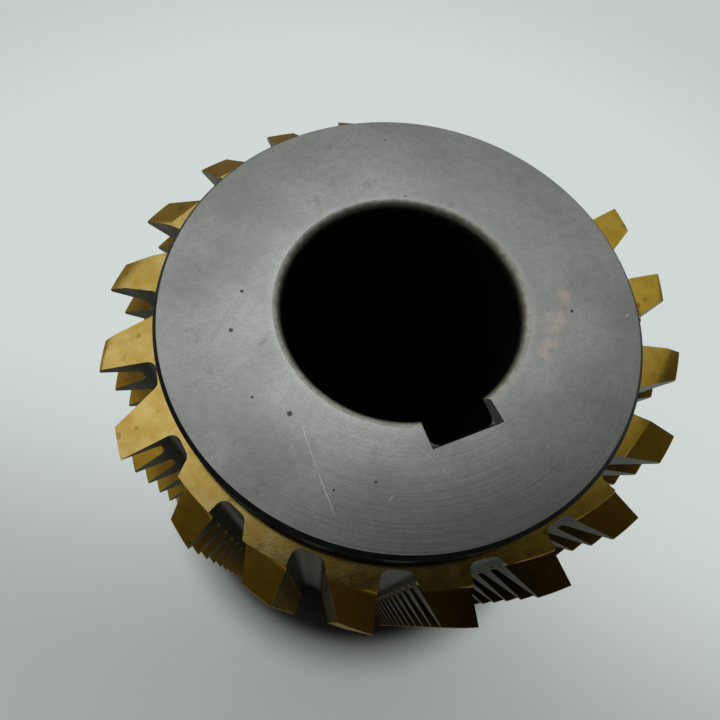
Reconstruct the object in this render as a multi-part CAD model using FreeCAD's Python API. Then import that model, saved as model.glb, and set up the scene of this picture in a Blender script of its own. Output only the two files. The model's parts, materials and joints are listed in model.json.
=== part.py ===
"""Gear hob: a relieved, straight-gashed hob with a plain keyed bore, turned and ground from one bar.

Millimetres. +Z runs along the bore, the origin is the centre of the lower hub face, and the keyway
is on the -Y side. The thread is right-hand: its crests rise with the azimuth, counter-clockwise
seen from above. A cutting face looks counter-clockwise and its tooth falls away behind it.
"""
import FreeCAD
import Part
import math
import os

# Body
OVERALL_LENGTH = 120.0
HUB_LENGTH = 5.3            # each hub stands this far out of the toothed part
HUB_CHAMFER = 0.7
BORE_DIAMETER = 40.0
BORE_CHAMFER = 1.2

# Keyway, for a 10 mm drive key
KEY_WIDTH = 10.0
KEY_SIDE_CLEARANCE = 0.3
KEYWAY_DEPTH = 3.8          # below the bore wall
KEYWAY_CORNER_RADIUS = 1.2
KEYWAY_CHAMFER = 0.6

# Thread
OUTSIDE_DIAMETER = 100.0
NORMAL_MODULE = 2.6
STARTS = 2
PRESSURE_ANGLE = 20.0
CREST_HEIGHT = 1.25 * NORMAL_MODULE     # from the pitch cylinder to the tip
THREAD_DEPTH = 2.25 * NORMAL_MODULE     # from the tip to the thread's root
CREST_WIDTH = 0.8
CREST_BELOW_TOP = 0.2       # a crest's middle below the upper end plane, at azimuth 0
THINNEST_CREST = 0.1        # a crest the end plane leaves thinner is ground down to the root
THINNEST_STUB = 0.3         # and what is left of it is kept when it is at least this thick

# Gashes and relief
GASHES = 20
GASH_BELOW_ROOT = 3.1       # gash floor below the thread's root
GASH_BACK_ANGLE = 38.5      # between a cutting face and the back of the tooth it faces
GASH_ROOT_RADIUS = 1.5
LAND_ANGLE = 6.2            # from a cutting edge back to its heel, about the axis
RELIEF_RISE = 2.6           # cam rise over one gash spacing
HUB_STEP = 0.75             # gash floor above the hub's side

# How the solids are made
TOOTH_SINK = 1.0            # a tooth's foot goes this far into the core before they are joined

# Sizes that follow
OUTSIDE_RADIUS = OUTSIDE_DIAMETER / 2
ROOT_RADIUS = OUTSIDE_RADIUS - THREAD_DEPTH
FLOOR_RADIUS = ROOT_RADIUS - GASH_BELOW_ROOT
HUB_RADIUS = FLOOR_RADIUS - HUB_STEP
BORE_RADIUS = BORE_DIAMETER / 2
TOP_END = OVERALL_LENGTH - HUB_LENGTH
TOOTHED_LENGTH = TOP_END - HUB_LENGTH
GASH_SPACING = 360.0 / GASHES
LEAD_ANGLE = math.asin(STARTS * NORMAL_MODULE / (OUTSIDE_DIAMETER - 2 * CREST_HEIGHT))
AXIAL_PITCH = math.pi * NORMAL_MODULE / math.cos(LEAD_ANGLE)
LEAD = STARTS * AXIAL_PITCH
FLANK_SLOPE = math.tan(math.radians(PRESSURE_ANGLE))

# The keyway lies midway between two cutting faces
CUTTING_FACES = [-90.0 + GASH_SPACING * (row + 0.5) for row in range(GASHES)]


def polar(radius, azimuth, z=0.0):
    """The point at a radius and an azimuth in degrees."""
    angle = math.radians(azimuth)
    return FreeCAD.Vector(radius * math.cos(angle), radius * math.sin(angle), z)


def closed(corners):
    """The polygon through the corners and back to the first."""
    return Part.makePolygon(corners + corners[:1])


def relieved(radius, back):
    """What the relief leaves of a radius, at an angle back from the cutting edge."""
    return radius - RELIEF_RISE * back / GASH_SPACING


def land_end(radius):
    """The angle back from the cutting face at which a relieved radius meets the tooth's back."""
    tilt = GASH_BACK_ANGLE - GASH_SPACING
    off_axis = relieved(OUTSIDE_RADIUS, LAND_ANGLE) * math.sin(math.radians(LAND_ANGLE + tilt))
    back = LAND_ANGLE
    for _ in range(20):
        back = math.degrees(math.asin(off_axis / relieved(radius, back))) - tilt
    return back


def core():
    """The toothed part up to the thread's root, relieved and gashed."""
    root_end = land_end(ROOT_RADIUS)
    root_heel = polar(relieved(ROOT_RADIUS, root_end), GASH_SPACING - root_end)
    fall = (root_heel.x - FLOOR_RADIUS) * math.tan(math.radians(GASH_BACK_ANGLE))
    floor_end = FreeCAD.Vector(FLOOR_RADIUS, root_heel.y - fall, 0)
    outline = []
    for azimuth in CUTTING_FACES:
        turn = FreeCAD.Rotation(FreeCAD.Vector(0, 0, 1), azimuth)
        outline += [turn.multVec(point) for point in
                    (polar(ROOT_RADIUS, 0), polar(FLOOR_RADIUS, 0), floor_end, root_heel)]
    face = Part.Face(closed(outline))
    face.translate(FreeCAD.Vector(0, 0, HUB_LENGTH))
    prism = face.extrude(FreeCAD.Vector(0, 0, TOOTHED_LENGTH))
    limit = floor_end.Length + 0.01
    floors = [edge for edge in prism.Edges
              if edge.Length > TOOTHED_LENGTH - 0.01
              and math.hypot(edge.Vertexes[0].X, edge.Vertexes[0].Y) < limit]
    return prism.makeFillet(GASH_ROOT_RADIUS, floors)


def whole_tooth():
    """A tooth with its cutting face at azimuth 0 and its crest's middle at height 0."""
    tip = CREST_WIDTH / 2
    foot = tip + (THREAD_DEPTH + TOOTH_SINK) * FLANK_SLOPE
    foot_radius = ROOT_RADIUS - TOOTH_SINK
    cutting_face, heel = [], []
    for side in (-1, 1):
        front_foot = polar(foot_radius, 0, side * foot)
        front_tip = polar(OUTSIDE_RADIUS, 0, side * tip)
        heel_tip = polar(relieved(OUTSIDE_RADIUS, LAND_ANGLE), -LAND_ANGLE,
                         side * tip - LEAD * LAND_ANGLE / 360)
        back = land_end(foot_radius)
        heel_foot = polar(relieved(foot_radius, back), -back)
        flank = (front_tip - front_foot).cross(heel_tip - front_foot)
        heel_foot.z = -flank.dot(heel_foot - front_foot) / flank.z
        cutting_face += [front_foot, front_tip][::-side]
        heel += [heel_foot, heel_tip][::-side]
    sides = [[cutting_face[i - 1], cutting_face[i], heel[i], heel[i - 1]] for i in range(4)]
    shell = Part.makeShell([Part.Face(closed(corners)) for corners in [cutting_face, heel] + sides])
    shell.sewShape()
    return Part.makeSolid(shell)


def crest_heights(azimuth):
    """The middles of the crests on one row, from above the upper end plane to below the lower."""
    crest = TOP_END - CREST_BELOW_TOP + LEAD * azimuth / 360
    crest += AXIAL_PITCH * math.ceil((TOP_END - crest) / AXIAL_PITCH)
    return [crest - AXIAL_PITCH * turn
            for turn in range(math.ceil(TOOTHED_LENGTH / AXIAL_PITCH) + 2)]


def between_ends(radius):
    """The space inside a radius from one end plane to the other."""
    return Part.makeCylinder(radius, TOOTHED_LENGTH, FreeCAD.Vector(0, 0, HUB_LENGTH))


def teeth():
    """Every tooth in its place, cut flush with the end planes or ground down where it runs out."""
    whole = whole_tooth()
    flush, ground_down = between_ends(OUTSIDE_DIAMETER), between_ends(ROOT_RADIUS)
    placed = []
    for azimuth in CUTTING_FACES:
        for height in crest_heights(azimuth):
            tooth = whole.copy()
            tooth.rotate(FreeCAD.Vector(), FreeCAD.Vector(0, 0, 1), azimuth)
            tooth.translate(FreeCAD.Vector(0, 0, height))
            upper = min(height + CREST_WIDTH / 2, TOP_END)
            lower = max(height - CREST_WIDTH / 2, HUB_LENGTH)
            if upper - lower < THINNEST_CREST:
                tooth = tooth.common(ground_down)
            elif tooth.BoundBox.ZMax > TOP_END or tooth.BoundBox.ZMin < HUB_LENGTH:
                tooth = tooth.common(flush)
            if tooth.Volume > 0 and tooth.BoundBox.ZLength > THINNEST_STUB:
                placed.append(tooth)
    return placed


def hub():
    """The plain cylinder through the middle, chamfered at both rims."""
    cylinder = Part.makeCylinder(HUB_RADIUS, OVERALL_LENGTH)
    rims = [edge for edge in cylinder.Edges if isinstance(edge.Curve, Part.Circle)]
    return cylinder.makeChamfer(HUB_CHAMFER, rims)


def bore_space():
    """The bore and the countersinks at its mouths."""
    space = [Part.makeCylinder(BORE_RADIUS, OVERALL_LENGTH)]
    for height, direction in ((0.0, 1), (OVERALL_LENGTH, -1)):
        space.append(Part.makeCone(BORE_RADIUS + BORE_CHAMFER, BORE_RADIUS, BORE_CHAMFER,
                                   FreeCAD.Vector(0, 0, height), FreeCAD.Vector(0, 0, direction)))
    return space


def keyway_space():
    """The keyway, round in its two floor corners, and the bevels round its mouths."""
    half_width = KEY_WIDTH / 2 + KEY_SIDE_CLEARANCE
    floor = BORE_RADIUS + KEYWAY_DEPTH
    slot = Part.makeBox(2 * half_width, floor, OVERALL_LENGTH, FreeCAD.Vector(-half_width, -floor, 0))
    corners = [edge for edge in slot.Edges
               if edge.Length > OVERALL_LENGTH - 0.01 and edge.Vertexes[0].Y < -BORE_RADIUS]
    space = [slot.makeFillet(KEYWAY_CORNER_RADIUS, corners)]
    for height, inward in ((0.0, 1), (OVERALL_LENGTH, -1)):
        rims = []
        for grow in (0.0, KEYWAY_CHAMFER):
            side, end = half_width + grow, floor + grow
            z = height + inward * (KEYWAY_CHAMFER - grow)
            rims.append(closed([FreeCAD.Vector(x, y, z)
                                for x, y in ((-side, 0), (-side, -end), (side, -end), (side, 0))]))
        space.append(Part.makeLoft(rims, True, True))
    return space


def hob():
    """The finished hob in one solid."""
    body = core().multiFuse([hub()] + teeth())
    body = body.cut(bore_space() + keyway_space())
    return body.removeSplitter()


os.makedirs("parts", exist_ok=True)
hob().exportStep("parts/hob.step")
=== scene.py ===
"""The gear hob's looks: a finer mesh of the solid's own form, its coating, its bare steel and its wear.

Lengths are millimetres, and meshes are scaled to metres as they are made. +Z runs along the bore from
the lower hub face, and the keyway is on the -Y side. An azimuth is in degrees, counter-clockwise from
+X. A row of teeth has its cutting face at the row's azimuth and falls away clockwise behind it.
"""
import json
import math
import random

import bpy
import bmesh
from mathutils import Matrix, Vector


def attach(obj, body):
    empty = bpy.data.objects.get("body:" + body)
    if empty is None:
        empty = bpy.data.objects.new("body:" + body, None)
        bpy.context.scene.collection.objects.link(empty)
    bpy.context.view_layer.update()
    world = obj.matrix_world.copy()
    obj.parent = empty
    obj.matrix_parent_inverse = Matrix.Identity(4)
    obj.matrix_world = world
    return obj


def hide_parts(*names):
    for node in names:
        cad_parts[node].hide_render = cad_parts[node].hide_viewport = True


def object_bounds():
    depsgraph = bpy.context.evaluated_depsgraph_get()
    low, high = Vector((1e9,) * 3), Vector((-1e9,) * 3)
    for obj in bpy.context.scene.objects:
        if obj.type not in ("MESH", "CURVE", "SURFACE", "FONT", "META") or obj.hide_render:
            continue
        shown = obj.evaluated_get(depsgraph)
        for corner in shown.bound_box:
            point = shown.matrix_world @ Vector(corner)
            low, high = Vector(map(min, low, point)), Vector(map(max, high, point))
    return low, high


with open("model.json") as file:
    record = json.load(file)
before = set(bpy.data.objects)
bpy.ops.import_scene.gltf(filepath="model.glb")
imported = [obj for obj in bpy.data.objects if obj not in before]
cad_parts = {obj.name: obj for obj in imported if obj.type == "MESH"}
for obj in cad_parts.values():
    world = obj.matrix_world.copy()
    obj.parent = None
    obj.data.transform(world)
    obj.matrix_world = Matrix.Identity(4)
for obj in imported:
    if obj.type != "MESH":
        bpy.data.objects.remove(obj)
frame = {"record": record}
cad_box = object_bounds()

MM = 0.001

# Body, as in the solid
OVERALL_LENGTH = (cad_box[1].z - cad_box[0].z) / MM
HUB_LENGTH = 5.3
HUB_CHAMFER = 0.7
HUB_RADIUS = 40.3
BORE_RADIUS = frame["record"]["mounts"][0]["dims"]["r_mm"]
TOP_END = OVERALL_LENGTH - HUB_LENGTH

# Thread, gashes and relief, as in the solid
OUTSIDE_RADIUS = 50.0
THREAD_DEPTH = 5.85
ROOT_RADIUS = OUTSIDE_RADIUS - THREAD_DEPTH
AXIAL_PITCH = 8.181
LEAD = 2 * AXIAL_PITCH
FLANK_SLOPE = math.tan(math.radians(20))
CREST_WIDTH = 0.8
CREST_BELOW_TOP = 0.2
THINNEST_CREST = 0.1
ROWS = 20
ROW_SPACING = 360 / ROWS
FLOOR_RADIUS = 41.05
GASH_BACK_ANGLE = 38.5
LAND_ANGLE = 6.2
RELIEF_RISE = 2.6

# Roundings that the solid leaves out
TIP_ROUNDING = 0.3
THREAD_ROOT_ROUNDING = 1.1
GASH_ROOT_ROUNDING = 1.5

# Fineness of the mesh
LAND_COLUMNS = 6
HUB_STEPS_PER_ROW = 15


def polar(radius, azimuth, z=0.0):
    """The point at a radius and an azimuth."""
    angle = math.radians(azimuth)
    return Vector((radius * math.cos(angle), radius * math.sin(angle), z))


def rounded(before, corner, after, radius, steps):
    """The points of an arc that rounds off a flat corner between two neighbours."""
    before, corner, after = Vector(before), Vector(corner), Vector(after)
    back, ahead = (before - corner).normalized(), (after - corner).normalized()
    half = back.angle(ahead) / 2
    centre = corner + (back + ahead).normalized() * radius / math.sin(half)
    start = (corner + back * radius / math.tan(half) - centre).normalized()
    end = (corner + ahead * radius / math.tan(half) - centre).normalized()
    return [centre + start.slerp(end, step / steps) * radius for step in range(steps + 1)]


class Skin:
    """A mesh as it is built: points that coincide are one, and each face names its finish."""

    def __init__(self):
        self.points = {}
        self.faces = []
        self.finishes = []

    def face(self, corners, finish):
        """Adds a face, or nothing where its corners have run together."""
        loop = []
        for corner in corners:
            index = self.points.setdefault(tuple(round(c, 5) for c in corner), len(self.points))
            if not loop or index != loop[-1]:
                loop.append(index)
        if loop[0] == loop[-1]:
            loop.pop()
        if len(loop) > 2:
            self.faces.append(loop)
            self.finishes.append(finish)

    def strip(self, first, second, finish):
        """Adds the quads between two rows of points."""
        for i in range(len(first) - 1):
            self.face([first[i], first[i + 1], second[i + 1], second[i]], finish)

    def made(self, name, materials):
        """The finished object, in metres, with the named materials in its slots."""
        mesh = bpy.data.meshes.new(name)
        mesh.from_pydata([Vector(point) * MM for point in self.points], [], self.faces)
        slots = list(materials)
        for slot in slots:
            mesh.materials.append(materials[slot])
        for polygon, finish in zip(mesh.polygons, self.finishes):
            polygon.material_index = slots.index(finish)
        shaped = bmesh.new()
        shaped.from_mesh(mesh)
        bmesh.ops.recalc_face_normals(shaped, faces=shaped.faces)
        shaped.to_mesh(mesh)
        shaped.free()
        item = bpy.data.objects.new(name, mesh)
        bpy.context.scene.collection.objects.link(item)
        return item


# The teeth

def tooth_lines():
    """(height from the crest's middle, depth below the tip) of the lines along one pitch of thread."""
    tip = CREST_WIDTH / 2
    foot = tip + THREAD_DEPTH * FLANK_SLOPE
    corners = [(-AXIAL_PITCH / 2, THREAD_DEPTH), (-foot, THREAD_DEPTH), (-tip, 0),
               (tip, 0), (foot, THREAD_DEPTH), (AXIAL_PITCH / 2, THREAD_DEPTH)]
    lines = [Vector(corners[0])]
    for i in range(1, 5):
        at_root = corners[i][1] > 0
        lines += rounded(corners[i - 1], corners[i], corners[i + 1],
                         THREAD_ROOT_ROUNDING if at_root else TIP_ROUNDING, 4 if at_root else 3)
    return lines


def relieved(radius, back):
    """What the relief leaves of a radius, at an angle back from the cutting edge."""
    return radius - RELIEF_RISE * back / ROW_SPACING


BACK_TILT = GASH_BACK_ANGLE - ROW_SPACING
BACK_OFF_AXIS = relieved(OUTSIDE_RADIUS, LAND_ANGLE) * math.sin(math.radians(LAND_ANGLE + BACK_TILT))


def land_point(azimuth, height, depth, ground_down, share):
    """The point a share of the way back over the land, on the thread line of a height and a depth."""
    back = LAND_ANGLE
    for _ in range(12):
        radius = ROOT_RADIUS if ground_down else relieved(OUTSIDE_RADIUS - depth, back)
        back = math.degrees(math.asin(BACK_OFF_AXIS / radius)) - BACK_TILT
    back *= share
    radius = ROOT_RADIUS if ground_down else relieved(OUTSIDE_RADIUS - depth, back)
    return polar(radius, azimuth - back, height - LEAD * back / 360)


def cut_to_length(column):
    """A column of land points, with those beyond an end plane gathered where it meets the plane."""
    inside = [i for i, point in enumerate(column) if HUB_LENGTH < point.z < TOP_END]
    ends = []
    for near, far, z in ((inside[0], inside[0] - 1, HUB_LENGTH), (inside[-1], inside[-1] + 1, TOP_END)):
        share = (z - column[near].z) / (column[far].z - column[near].z)
        end = column[near].lerp(column[far], share)
        end.z = z
        ends.append(end)
    below, above = inside[0], len(column) - 1 - inside[-1]
    return [ends[0]] * below + column[inside[0]:inside[-1] + 1] + [ends[1]] * above


def row_of_teeth(azimuth):
    """The land of one row, as columns of points from its cutting face back, each from the bottom up."""
    lines = []
    lowest_turn = math.ceil(OVERALL_LENGTH / AXIAL_PITCH) + 2
    for turn in range(lowest_turn, -4, -1):
        crest = TOP_END - CREST_BELOW_TOP + LEAD * azimuth / 360 - AXIAL_PITCH * turn
        upper = min(crest + CREST_WIDTH / 2, TOP_END)
        lower = max(crest - CREST_WIDTH / 2, HUB_LENGTH)
        runs_out = upper - lower < THINNEST_CREST
        for i, (height, depth) in enumerate(TOOTH_LINES):
            lines.append((crest + height, depth, runs_out and i > 0))
    return [cut_to_length([land_point(azimuth, *line, column / LAND_COLUMNS) for line in lines])
            for column in range(LAND_COLUMNS + 1)]


def gash_section():
    """A gash across the axis, in its cutting face's own directions: the arc at each root corner."""
    back_angle = math.radians(GASH_BACK_ANGLE)
    heel = polar(relieved(OUTSIDE_RADIUS, LAND_ANGLE), ROW_SPACING - LAND_ANGLE).xy
    floor_end = Vector((FLOOR_RADIUS, heel.y - (heel.x - FLOOR_RADIUS) * math.tan(back_angle)))
    floor_start = Vector((FLOOR_RADIUS, 0))
    face_top = Vector((OUTSIDE_RADIUS, 0))
    return (rounded(face_top, floor_start, floor_end, GASH_ROOT_ROUNDING, 5),
            rounded(floor_start, floor_end, heel, GASH_ROOT_ROUNDING, 4))


def add_toothed_part(skin):
    """The lands, cutting faces, gashes and end planes. Returns the azimuth at which the sectors meet."""
    per_pitch = len(TOOTH_LINES)
    front_arc, back_arc = gash_section()
    section = front_arc + back_arc
    azimuths = [-90 + ROW_SPACING * (row + 0.5) for row in range(ROWS + 1)]
    rows = [row_of_teeth(azimuth) for azimuth in azimuths]
    levels = range(0, len(rows[0][0]), per_pitch)
    gashes = []
    for row in range(ROWS):
        turn = Matrix.Rotation(math.radians(azimuths[row]), 3, "Z")
        front, behind = rows[row][0], rows[row + 1][-1]
        gashes.append([[turn @ point.to_3d() + Vector((0, 0, front[level].lerp(behind[level], i /
                        (len(section) - 1)).z)) for i, point in enumerate(section)] for level in levels])
    for row in range(ROWS):
        lands, gash = rows[row], gashes[row]
        for near, far in zip(lands, lands[1:]):
            skin.strip(near, far, "coating")
        for near, far in zip(gash, gash[1:]):
            skin.strip(near, far, "bare_steel")
        for i in range(len(levels) - 1):
            cell = slice(levels[i], levels[i + 1] + 1)
            skin.face(lands[0][cell] + [gash[i + 1][0], gash[i][0]], "bare_steel")
            skin.face(rows[row + 1][-1][cell] + [gash[i + 1][-1], gash[i][-1]], "bare_steel")
    corner = front_arc[-1]
    meeting = azimuths[0] + math.degrees(math.atan2(corner.y, corner.x))
    for level in (0, -1):
        for row in range(ROWS):
            before, after = gashes[row - 1][level], gashes[row][level]
            outline = before[len(front_arc) - 1:]
            outline += [column[level] for column in reversed(rows[row])]
            outline += after[:len(front_arc)]
            arc = [polar(HUB_RADIUS, meeting + ROW_SPACING * (row - step / HUB_STEPS_PER_ROW), outline[0].z)
                   for step in range(HUB_STEPS_PER_ROW + 1)]
            skin.face(outline + arc, "coating")
    return meeting


def add_hubs(skin, meeting):
    """The hub's side, chamfer and face at both ends."""
    steps = ROWS * HUB_STEPS_PER_ROW
    for foot, face in ((TOP_END, OVERALL_LENGTH), (HUB_LENGTH, 0.0)):
        chamfer = face - math.copysign(HUB_CHAMFER, face - foot)
        rings = [[polar(radius, meeting + 360 * step / steps, z) for step in range(steps)]
                 for radius, z in ((HUB_RADIUS, foot), (HUB_RADIUS, chamfer),
                                   (HUB_RADIUS - HUB_CHAMFER, face))]
        for near, far in zip(rings, rings[1:]):
            skin.strip(near + near[:1], far + far[:1], "hub_side")
        skin.face(rings[-1], "ground_face")


TOOTH_LINES = tooth_lines()


# The bore and the keyway

LIP_WIDTH, LIP_DEPTH = 1.35, 1.9    # how far the bore's worn mouth reaches out, and down
LIP_STEPS = 7
BORE_STEPS = 192
KEYWAY_HALF_WIDTH = 5.3
KEYWAY_FLOOR = 23.8
KEYWAY_CORNER = 1.2
MOUTH_DEPTH = 0.8                   # of the bevel round the keyway's mouth
MOUTH_LEFT = (0.12, 0.35)           # its width at the bore, and at the keyway's floor
MOUTH_RIGHT = (0.35, 1.15)
MOUTH_FLOOR = 0.45
OVERSHOOT = 1.0


def bore_cutter(materials):
    """The bore's space, worn round at its mouths."""
    skin = Skin()
    profile = [(BORE_RADIUS + LIP_WIDTH + OVERSHOOT, -OVERSHOOT)]
    for step in range(LIP_STEPS + 1):
        turn = math.pi / 2 * step / LIP_STEPS
        profile.append((BORE_RADIUS + LIP_WIDTH * (1 - math.sin(turn)), LIP_DEPTH * (1 - math.cos(turn))))
    profile += [(radius, OVERALL_LENGTH - depth) for radius, depth in reversed(profile)]
    rings = [[polar(radius, 360 * step / BORE_STEPS, z) for step in range(BORE_STEPS)]
             for radius, z in profile]
    middle = len(rings) // 2 - 1
    for i, (near, far) in enumerate(zip(rings, rings[1:])):
        skin.strip(near + near[:1], far + far[:1], "bore" if i == middle else "worn_and_shaded_lip")
    skin.face(rings[0], "bore")
    skin.face(rings[-1], "bore")
    return skin.made("bore_cutter", materials)


def keyway_cutter(materials):
    """The keyway's space, round in its two floor corners."""
    skin = Skin()
    side, floor = KEYWAY_HALF_WIDTH, -KEYWAY_FLOOR
    outline = [Vector((-side, 0))]
    outline += rounded((-side, 0), (-side, floor), (side, floor), KEYWAY_CORNER, 5)
    outline += rounded((-side, floor), (side, floor), (side, 0), KEYWAY_CORNER, 5)
    outline += [Vector((side, 0))]
    rings = [[point.to_3d() + Vector((0, 0, z)) for point in outline]
             for z in (-OVERSHOOT, OVERALL_LENGTH + OVERSHOOT)]
    skin.strip(rings[0] + rings[0][:1], rings[1] + rings[1][:1], "bore")
    for ring in rings:
        skin.face(ring, "bore")
    return skin.made("keyway_cutter", materials)


def mouth_cutter(materials, face, inward):
    """The bevel round the keyway's mouth in one hub face, filed wider on one side than the other."""
    skin = Skin()
    side, floor = KEYWAY_HALF_WIDTH, KEYWAY_FLOOR
    rings = []
    for grow, z in ((0.0, MOUTH_DEPTH), (1.0 + OVERSHOOT / MOUTH_DEPTH, -OVERSHOOT)):
        corners = ((-side - grow * MOUTH_LEFT[0], 0.0),
                   (-side - grow * MOUTH_LEFT[1], -floor - grow * MOUTH_FLOOR),
                   (side + grow * MOUTH_RIGHT[1], -floor - grow * MOUTH_FLOOR),
                   (side + grow * MOUTH_RIGHT[0], 0.0))
        rings.append([Vector(corner + (face + inward * z,)) for corner in corners])
    skin.strip(rings[0] + rings[0][:1], rings[1] + rings[1][:1], "filed_bevel")
    for ring in rings:
        skin.face(ring, "filed_bevel")
    return skin.made("mouth_cutter", materials)


def cut(body, cutter):
    """Takes a cutter's space out of the body, and the cutter out of the scene."""
    step = body.modifiers.new("cut", "BOOLEAN")
    step.operation = "DIFFERENCE"
    step.solver = "MANIFOLD"
    step.object = cutter
    evaluated = body.evaluated_get(bpy.context.evaluated_depsgraph_get())
    mesh = bpy.data.meshes.new_from_object(evaluated)
    body.modifiers.clear()
    body.data = mesh
    bpy.data.objects.remove(cutter)


def shade(body):
    """Smooth over the roundings, sharp at the edges, with flat faces kept flat."""
    body.data.shade_smooth()
    body.data.set_sharp_from_angle(angle=math.radians(30))
    weigh = body.modifiers.new("weigh", "WEIGHTED_NORMAL")
    weigh.keep_sharp = True
    weigh.weight = 100


def hob_body(materials):
    """The whole hob as one closed mesh."""
    skin = Skin()
    add_hubs(skin, add_toothed_part(skin))
    body = skin.made("hob_body", materials)
    cut(body, bore_cutter(materials))
    cut(body, keyway_cutter(materials))
    for face, inward in ((0.0, 1), (OVERALL_LENGTH, -1)):
        cut(body, mouth_cutter(materials, face, inward))
    shade(body)
    return body


# Materials

class Graph:
    """Short ways to add and link shader nodes."""

    def __init__(self, tree):
        self.tree = tree

    def node(self, kind, operation=None):
        node = self.tree.nodes.new("ShaderNode" + kind)
        if operation:
            node.operation = operation
        return node

    def put(self, value, socket):
        """Sets a socket to a number or colour, or links it to another node's output."""
        if isinstance(value, bpy.types.NodeSocket):
            self.tree.links.new(value, socket)
        else:
            socket.default_value = value

    def math(self, operation, a, b=0.0):
        node = self.node("Math", operation)
        self.put(a, node.inputs[0])
        self.put(b, node.inputs[1])
        return node.outputs[0]

    def vector(self, operation, a, b=(0.0, 0.0, 0.0)):
        node = self.node("VectorMath", operation)
        self.put(a, node.inputs[0])
        self.put(b, node.inputs[1])
        return node.outputs["Value" if operation in ("LENGTH", "DISTANCE", "DOT_PRODUCT") else "Vector"]

    def remap(self, value, low, high, to_low=0.0, to_high=1.0):
        """A value's range taken smoothly to another, and held there outside."""
        node = self.node("MapRange")
        node.interpolation_type = "SMOOTHSTEP"
        self.put(value, node.inputs["Value"])
        for socket, number in (("From Min", low), ("From Max", high), ("To Min", to_low), ("To Max", to_high)):
            self.put(number, node.inputs[socket])
        return node.outputs["Result"]

    def parts(self, vector):
        """The three numbers of a vector."""
        node = self.node("SeparateXYZ")
        self.put(vector, node.inputs[0])
        return node.outputs

    def joined(self, x, y, z):
        """A vector of three numbers."""
        node = self.node("CombineXYZ")
        for value, socket in zip((x, y, z), node.inputs):
            self.put(value, socket)
        return node.outputs[0]

    def mix(self, share, a, b):
        """A colour between two, by a share."""
        node = self.node("Mix")
        node.data_type = "RGBA"
        factor, first, second = node.inputs[0], node.inputs[6], node.inputs[7]
        self.put(share, factor)
        self.put(a, first)
        self.put(b, second)
        return node.outputs[2]

    def scaled(self, colour, level):
        """A colour, lighter or darker by a level."""
        return self.vector("MULTIPLY", colour, self.joined(level, level, level))


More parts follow.
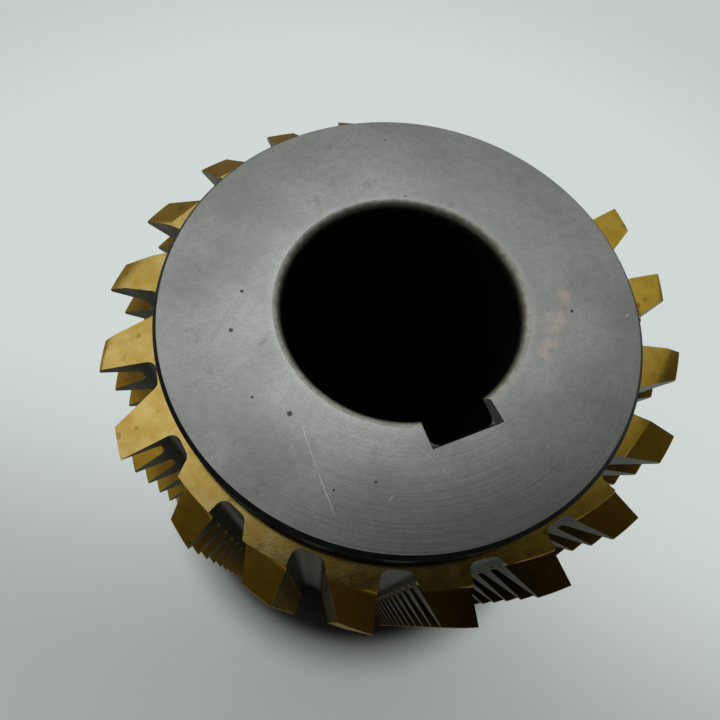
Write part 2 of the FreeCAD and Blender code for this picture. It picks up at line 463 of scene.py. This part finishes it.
class Finish(Graph):
    """One material, with the patterns that the finishes share. Its lengths are millimetres."""

    def __init__(self, name, metallic, roughness):
        self.material = bpy.data.materials.new(name)
        self.material.use_nodes = True
        super().__init__(self.material.node_tree)
        self.shader = self.tree.nodes["Principled BSDF"]
        self.shader.inputs["Metallic"].default_value = metallic
        self.shader.inputs["Roughness"].default_value = roughness
        millimetres = (1 / MM, 1 / MM, 1 / MM)
        self.place = self.vector("MULTIPLY", self.node("TexCoord").outputs["Object"], millimetres)

    def colour(self, value):
        self.put(value, self.shader.inputs["Base Color"])

    def roughness(self, value):
        self.put(value, self.shader.inputs["Roughness"])

    def bump(self, height, depth):
        """Raises the surface by a height pattern, of a depth in millimetres."""
        node = self.node("Bump")
        node.inputs["Distance"].default_value = depth * MM
        self.put(height, node.inputs["Height"])
        self.put(node.outputs["Normal"], self.shader.inputs["Normal"])

    def noise(self, size, detail=3.0, stretch=(1, 1, 1), place=None, roughness=0.5):
        """Noise with features of about a size, stretched along the axes."""
        node = self.node("TexNoise")
        node.inputs["Scale"].default_value = 1.0
        node.inputs["Detail"].default_value = detail
        node.inputs["Roughness"].default_value = roughness
        scale = tuple(1 / (size * s) for s in stretch)
        self.put(self.vector("MULTIPLY", place or self.place, scale), node.inputs["Vector"])
        return node.outputs["Fac"]

    def patches(self, size, share, softness=0.08, detail=4.0, place=None):
        """1 in irregular patches of about a size, which cover about a share of the surface, and 0 between."""
        middle = 0.5 + 0.32 * (0.5 - share)
        return self.remap(self.noise(size, detail, place=place), middle - softness, middle + softness)

    def specks(self, spacing, radius, share):
        """Small dots about a spacing apart, of which only a share is there."""
        node = self.node("TexVoronoi")
        node.inputs["Scale"].default_value = 1 / spacing
        self.put(self.place, node.inputs["Vector"])
        apart = self.node("SeparateColor")
        self.put(node.outputs["Color"], apart.inputs[0])
        chosen = self.math("LESS_THAN", apart.outputs["Red"], share)
        size = self.math("MULTIPLY", apart.outputs["Green"], radius / spacing)
        dot = self.remap(node.outputs["Distance"], size, self.math("MULTIPLY", size, 0.4))
        return self.math("MULTIPLY", dot, chosen)

    def spot(self, x, y, radius, z=None):
        """An irregular mark round a point, by default on the upper hub face."""
        z = OVERALL_LENGTH if z is None else z
        away = self.vector("DISTANCE", self.place, (x, y, z))
        ragged = self.math("ADD", away, self.math("MULTIPLY", self.noise(radius, 3), radius))
        return self.remap(ragged, 1.6 * radius, 1.2 * radius)

    def smear(self, start, end, width):
        """A soft, ragged mark along a line on the upper hub face."""
        start, end = Vector(start + (OVERALL_LENGTH,)), Vector(end + (OVERALL_LENGTH,))
        reach = end - start
        place = self.vector("SUBTRACT", self.place, tuple(start))
        along = self.math("DIVIDE", self.vector("DOT_PRODUCT", place, tuple(reach)), reach.length_squared)
        held = self.math("MAXIMUM", self.math("MINIMUM", along, 1.0), 0.0)
        nearest = self.vector("MULTIPLY", self.joined(held, held, held), tuple(reach))
        away = self.vector("DISTANCE", place, nearest)
        ragged = self.math("ADD", away, self.math("MULTIPLY", self.noise(width, 4), 2 * width))
        return self.remap(ragged, 2 * width, width)

    def scratch(self, start, end, width):
        """A straight scratch on the upper hub face, fading at its ends."""
        start, end = Vector(start + (OVERALL_LENGTH,)), Vector(end + (OVERALL_LENGTH,))
        along = (end - start).normalized()
        across = Vector((-along.y, along.x, 0))
        place = self.vector("SUBTRACT", self.place, tuple((start + end) / 2))
        off = self.math("ABSOLUTE", self.vector("DOT_PRODUCT", place, tuple(across)))
        far = self.math("ABSOLUTE", self.vector("DOT_PRODUCT", place, tuple(along)))
        half = (end - start).length / 2
        line = self.math("MULTIPLY", self.remap(off, width, 0.3 * width), self.remap(far, half, 0.5 * half))
        on_face = self.math("GREATER_THAN", self.parts(self.place)[2], OVERALL_LENGTH - 0.05)
        return self.math("MULTIPLY", line, on_face)

    def most(self, first, *others):
        """The largest of several patterns."""
        for other in others:
            first = self.math("MAXIMUM", first, other)
        return first

    def radius(self):
        """The distance from the bore's axis."""
        x, y, _ = self.parts(self.place)
        return self.vector("LENGTH", self.joined(x, y, 0.0))

    def turned(self):
        """(radius, arc length, height): the place as a lathe sees it."""
        x, y, z = self.parts(self.place)
        return self.joined(self.radius(), self.math("MULTIPLY", self.math("ARCTAN2", y, x), HUB_RADIUS), z)

    def depth(self):
        """The distance from the nearer hub face, along the axis."""
        z = self.parts(self.place)[2]
        return self.math("MINIMUM", z, self.math("SUBTRACT", OVERALL_LENGTH, z))

    def below_first_crest(self):
        """The distance below the thread's uppermost crest, along the axis."""
        x, y, z = self.parts(self.place)
        rise = self.math("MULTIPLY", self.math("ARCTAN2", y, x), LEAD / (2 * math.pi))
        crest = self.math("FLOORED_MODULO", self.math("SUBTRACT", CREST_BELOW_TOP, rise), AXIAL_PITCH)
        return self.math("SUBTRACT", self.math("SUBTRACT", TOP_END, z), crest)


def grey(value, warmth=0.0):
    """A grey, warmer or cooler by a little."""
    return (value * (1 + warmth), value, value * (1 - warmth), 1.0)


def ground_face():
    """The hub's faces: ground steel, clouded, pitted and scratched."""
    finish = Finish("ground_face", 1.0, 0.28)
    clouds = finish.patches(13, 0.5, 0.16, 5)
    mottle = finish.patches(1.5, 0.45, 0.16, 6)
    grain = finish.patches(0.4, 0.45, 0.14)
    colour = finish.mix(clouds, (0.355, 0.36, 0.345, 1), (0.42, 0.425, 0.412, 1))
    colour = finish.mix(finish.math("MULTIPLY", mottle, 0.26), colour, grey(0.25, 0.03))
    colour = finish.mix(finish.math("MULTIPLY", grain, 0.26), colour, grey(0.22, 0.03))
    stains = finish.math("MULTIPLY", finish.patches(4.5, -0.1, 0.08, 6), finish.patches(1.1, 0.5))
    colour = finish.mix(finish.math("MULTIPLY", stains, 0.4), colour, grey(0.16, 0.05))
    rubbed = finish.math("MULTIPLY", finish.smear((26.6, -8.3), (18.3, -16.3), 2.6), finish.patches(1.8, 0.6, 0.2))
    colour = finish.mix(finish.math("MULTIPLY", rubbed, 0.6), colour, (0.60, 0.49, 0.43, 1))
    radius = finish.radius()
    towards_bore = finish.remap(radius, 22, 36, 1.22, 0.92)
    beside_lip = finish.remap(radius, 21.3, 22.8, 1.16, 1.0)
    colour = finish.scaled(colour, finish.math("MULTIPLY", towards_bore, beside_lip))
    scratches = finish.most(finish.scratch((-22.5, -13.0), (-22.7, -21.5), 0.10),
                            finish.scratch((-22.7, -20.5), (-22.6, -28.6), 0.13),
                            finish.scratch((-8.3, -21.7), (-5.7, -26.7), 0.10),
                            finish.scratch((-14.8, -28.9), (-13.8, -28.2), 0.12),
                            finish.scratch((34.2, -15.1), (35.4, -14.7), 0.14))
    colour = finish.mix(finish.math("MULTIPLY", scratches, 0.6), colour, grey(0.75))
    pits = finish.most(finish.specks(5.0, 0.42, 0.22), finish.specks(1.7, 0.14, 0.16),
                       finish.spot(-23.6, -11.6, 0.42), finish.spot(-24.0, 11.0, 0.32),
                       finish.spot(-27.7, 4.8, 0.38), finish.spot(-28.0, -7.1, 0.22),
                       finish.spot(-15.4, -25.7, 0.22), finish.spot(-21.5, -24.6, 0.18),
                       finish.spot(9.2, 20.1, 0.20), finish.spot(26.2, -11.0, 0.30))
    finish.colour(finish.mix(finish.math("MULTIPLY", pits, 0.85), colour, grey(0.03)))
    finish.roughness(finish.remap(clouds, 0, 1, 0.31, 0.26))
    lathe = finish.noise(0.35, 2, (1, 60, 60), finish.turned())
    height = finish.math("SUBTRACT", finish.math("MULTIPLY", lathe, 0.4), pits)
    finish.bump(finish.math("SUBTRACT", height, finish.math("MULTIPLY", scratches, 0.3)), 0.02)
    return finish.material


def worn_and_shaded_lip():
    """The bore's mouth: rubbed light at its edge, and darker and browner further in, which is painted shade down
    the bore.
    """
    finish = Finish("worn_and_shaded_lip", 0.3, 0.45)
    ragged = finish.math("ADD", finish.depth(), finish.math("MULTIPLY", finish.noise(1.6, 4), 0.5))
    # Painted shade: olive a little way in and near black deeper, by the depth from the hub face.
    colour = finish.mix(finish.remap(ragged, 0.22, 0.75), (0.80, 0.79, 0.70, 1), (0.36, 0.34, 0.25, 1))
    colour = finish.mix(finish.remap(ragged, 0.65, 1.5), colour, (0.022, 0.022, 0.018, 1))
    rubbed = finish.patches(1.3, 0.5, 0.12, 5)
    finish.colour(finish.mix(finish.math("MULTIPLY", rubbed, 0.3), colour, (0.12, 0.11, 0.075, 1)))
    finish.bump(finish.noise(0.5, 3), 0.03)
    return finish.material


def filed_bevel():
    """The bevel round the keyway's mouth, with the file's lines across it."""
    finish = Finish("filed_bevel", 1.0, 0.36)
    lines = finish.noise(0.16, 2, (6, 1, 1))
    colour = finish.mix(finish.remap(lines, 0.35, 0.65), grey(0.09, 0.05), grey(0.22, 0.03))
    finish.colour(colour)
    finish.bump(lines, 0.02)
    return finish.material


def bore():
    """The bore and the keyway's walls: near black, the deep hole's shade painted into their colour."""
    finish = Finish("bore", 0.7, 0.5)
    # Painted shade: near black all along the bore.
    finish.colour(finish.mix(finish.noise(6, 4), grey(0.010), grey(0.026, 0.05)))
    return finish.material


def hub_side():
    """The hub's side: near black."""
    finish = Finish("hub_side", 0.2, 0.5)
    finish.shader.inputs["Specular IOR Level"].default_value = 0.15
    finish.colour(finish.mix(finish.patches(3.5, 0.4), grey(0.010, -0.05), grey(0.020, -0.12)))
    finish.bump(finish.noise(0.4, 3), 0.01)
    return finish.material


def coating():
    """The gold coating: paler on the ends than on the flanks, as painted light on the ends and painted shade on the
    flanks, and darker down between the teeth, which is painted shade.
    """
    finish = Finish("coating", 1.0, 0.12)
    # Painted light and shade: faces looking up or down are drawn paler as if lit, the flanks darker as if shaded.
    facing = finish.math("ABSOLUTE", finish.parts(finish.node("NewGeometry").outputs["Normal"])[2])
    lit_end = finish.remap(facing, 0.955, 0.985)
    clouds = finish.patches(6, 0.5, 0.16, 4)
    pale = finish.mix(clouds, (0.50, 0.345, 0.080, 1), (0.60, 0.44, 0.155, 1))
    rich = finish.mix(clouds, (0.48, 0.310, 0.035, 1), (0.55, 0.375, 0.060, 1))
    # The ends are paler towards the left: a painted sheen.
    ends = finish.mix(finish.remap(finish.parts(finish.place)[0], -35, 15), pale, rich)
    flanks = finish.mix(clouds, (0.45, 0.255, 0.022, 1), (0.51, 0.310, 0.036, 1))
    colour = finish.mix(lit_end, flanks, ends)
    colour = finish.mix(finish.math("MULTIPLY", finish.patches(1.8, 0.4, 0.1), 0.35), colour, (0.42, 0.22, 0.03, 1))
    browned = finish.math("MULTIPLY", finish.patches(2.6, 0.02, 0.04, 5), 0.5)
    colour = finish.mix(browned, colour, (0.19, 0.085, 0.015, 1))
    # Painted shade: darker towards the thread's roots below the first crest, where the teeth shade each other.
    painted_root_shade = finish.math("MULTIPLY", finish.remap(finish.radius(), 50.0, 46.0, 0.2, 0.75),
                       finish.remap(finish.below_first_crest(), 0.6, 1.6))
    colour = finish.mix(painted_root_shade, colour, (0.10, 0.055, 0.014, 1))
    rust = finish.most(finish.spot(40.6, -13.1, 1.1, TOP_END), finish.spot(41.6, -12.2, 0.7, TOP_END))
    colour = finish.mix(finish.math("MULTIPLY", rust, 0.8), colour, (0.26, 0.09, 0.015, 1))
    specks = finish.most(finish.specks(2.0, 0.2, 0.3), finish.specks(0.9, 0.07, 0.3),
                         finish.spot(34.1, -21.5, 0.5, TOP_END))
    finish.colour(finish.mix(finish.math("MULTIPLY", specks, 0.7), colour, (0.08, 0.045, 0.012, 1)))
    finish.roughness(finish.remap(finish.noise(2.5, 4), 0.3, 0.7, 0.10, 0.17))
    finish.bump(finish.noise(0.3, 3), 0.006)
    return finish.material


def bare_steel():
    """The gashes and cutting faces: steel ground through the coating, its colour darkened as painted shade of the
    gashes, and more so towards the root.
    """
    finish = Finish("bare_steel", 1.0, 0.42)
    clouds = finish.patches(5, 0.5, 0.15, 5)
    # Dark ground steel, made darker than its own tone as painted shade of the gashes.
    colour = finish.mix(clouds, (0.088, 0.078, 0.042, 1), (0.138, 0.126, 0.080, 1))
    colour = finish.mix(finish.math("MULTIPLY", finish.patches(1.2, 0.35), 0.4), colour, (0.055, 0.045, 0.022, 1))
    # Painted shade and light: darker towards the gash's root, lighter out towards the tips.
    finish.colour(finish.scaled(colour, finish.remap(finish.radius(), 41.5, 47.0, 0.7, 1.15)))
    finish.bump(finish.noise(0.22, 2, (10, 10, 1)), 0.01)
    return finish.material


def finishes():
    made = (ground_face(), worn_and_shaded_lip(), filed_bevel(), bore(), hub_side(), coating(), bare_steel())
    return {material.name: material for material in made}


# The stage

DOME_LOW, DOME_HIGH = 0.20, 0.97    # what the dome sends down from the horizon, and from overhead
SIDE_LEVEL = 0.15                   # and at least from its sides
DIM_LEVEL = 0.008                   # and at least from the front, where the viewer stands
DIM_UP_TO, CLEAR_FROM = 0.03, 0.38
DIM_LEAN = 0.2                      # the dim part's edge comes further forward on the right
LEFT_LEVEL, RIGHT_LEVEL = 1.16, 0.84    # what is behind is brighter towards the left
FLOOR_HALF = 3.0
FLOOR_GLOW = 0.48                   # shown by the table beyond what its light makes it, so that it is pale
GLOW_STARTS, GLOW_FULL = 0.051, 0.066   # from the hob's axis, so that its shadow stays
NEARER_GLOW = 0.45                  # the share of it on the viewer's side, as seen: a painted shadow
NEARER_GLOSS = 0.15                 # and as reflected, where the viewer stands over the table: a painted shadow in reflections
FAR_GLOW = 0.8                      # and far off, a painted falloff of light


def floor():
    """A pale table: near black under the hob as a painted shadow, and a little dimmer towards the viewer and far
    off, as painted shadow and painted falloff.
    """
    mesh = bpy.data.meshes.new("floor")
    half = FLOOR_HALF
    mesh.from_pydata([(-half, -half, 0), (half, -half, 0), (half, half, 0), (-half, half, 0)], [], [(0, 1, 2, 3)])
    item = bpy.data.objects.new("floor", mesh)
    bpy.context.scene.collection.objects.link(item)
    material = bpy.data.materials.new("table")
    material.use_nodes = True
    graph = Graph(material.node_tree)
    shader = material.node_tree.nodes["Principled BSDF"]
    shader.inputs["Roughness"].default_value = 0.7
    shader.inputs["Emission Color"].default_value = (0.925, 1.0, 0.985, 1)
    place = graph.node("TexCoord").outputs["Object"]
    away = graph.vector("LENGTH", place)
    # Painted shadow: the table is near black under the hob, out to about its teeth.
    graph.put(graph.mix(graph.remap(away, 0.050, 0.056), (0.08, 0.085, 0.08, 1), (0.74, 0.80, 0.79, 1)),
              shader.inputs["Base Color"])
    # Painted shadow: the glow is weaker on the viewer's side of the hob, as seen and as reflected.
    nearer = graph.remap(graph.vector("DOT_PRODUCT", place, (-0.6, -0.8, 0.0)), -0.04, 0.10)
    # Painted falloff: the glow fades far off, darker towards the corners.
    far = graph.remap(away, 0.19, 0.30, 1.0, FAR_GLOW)
    rays = graph.node("LightPath").outputs
    seen = graph.math("MULTIPLY", rays["Is Camera Ray"], graph.remap(nearer, 0, 1, 1.0, NEARER_GLOW))
    reflected = graph.math("MULTIPLY", rays["Is Glossy Ray"], graph.remap(nearer, 0, 1, 1.0, NEARER_GLOSS))
    glow = graph.math("MULTIPLY", graph.remap(away, GLOW_STARTS, GLOW_FULL, 0.0, FLOOR_GLOW), far)
    graph.put(graph.math("MULTIPLY", graph.math("ADD", seen, reflected), glow),
              shader.inputs["Emission Strength"])
    mesh.materials.append(material)


def lights():
    """A soft pale dome, brightest overhead and behind the hob, dim on the viewer's side."""
    world = bpy.data.worlds.new("studio")
    bpy.context.scene.world = world
    world.use_nodes = True
    graph = Graph(world.node_tree)
    background = world.node_tree.nodes["Background"]
    background.inputs["Color"].default_value = (0.97, 1.0, 0.985, 1)
    x, y, z = graph.parts(graph.node("TexCoord").outputs["Generated"])
    high = graph.math("MULTIPLY", graph.math("MULTIPLY", z, z), DOME_HIGH - DOME_LOW)
    back = graph.math("ADD", y, graph.math("MULTIPLY", x, DIM_LEAN))
    behind = graph.math("MULTIPLY", graph.remap(back, DIM_UP_TO, CLEAR_FROM), graph.math("ADD", high, DOME_LOW))
    behind = graph.math("MULTIPLY", behind, graph.remap(x, -0.1, 0.6, LEFT_LEVEL, RIGHT_LEVEL))
    beside = graph.math("MULTIPLY", graph.math("MULTIPLY", x, x), SIDE_LEVEL)
    level = graph.math("ADD", graph.math("ADD", behind, beside), DIM_LEVEL)
    graph.put(level, background.inputs["Strength"])


def camera():
    """A close view from above, with the hob turned so that its keyway is at the lower right."""
    data = bpy.data.cameras.new("camera")
    data.lens = 29.63
    data.sensor_width = 36
    data.clip_start = 0.005
    item = bpy.data.objects.new("camera", data)
    bpy.context.scene.collection.objects.link(item)
    right = Vector((0.92648, -0.37075, 0.06473))
    up = Vector((0.31533, 0.85856, 0.40428))
    back = right.cross(up)
    placed = Matrix((right, up, back)).transposed().to_4x4()
    placed.translation = Vector((-29.53, -39.94, 204.76)) * MM
    item.matrix_world = placed
    bpy.context.scene.camera = item


materials = finishes()
body = hob_body(materials)
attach(body, "root")
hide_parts("hob")
floor()
lights()
camera()
bpy.context.scene.view_settings.view_transform = "Standard"
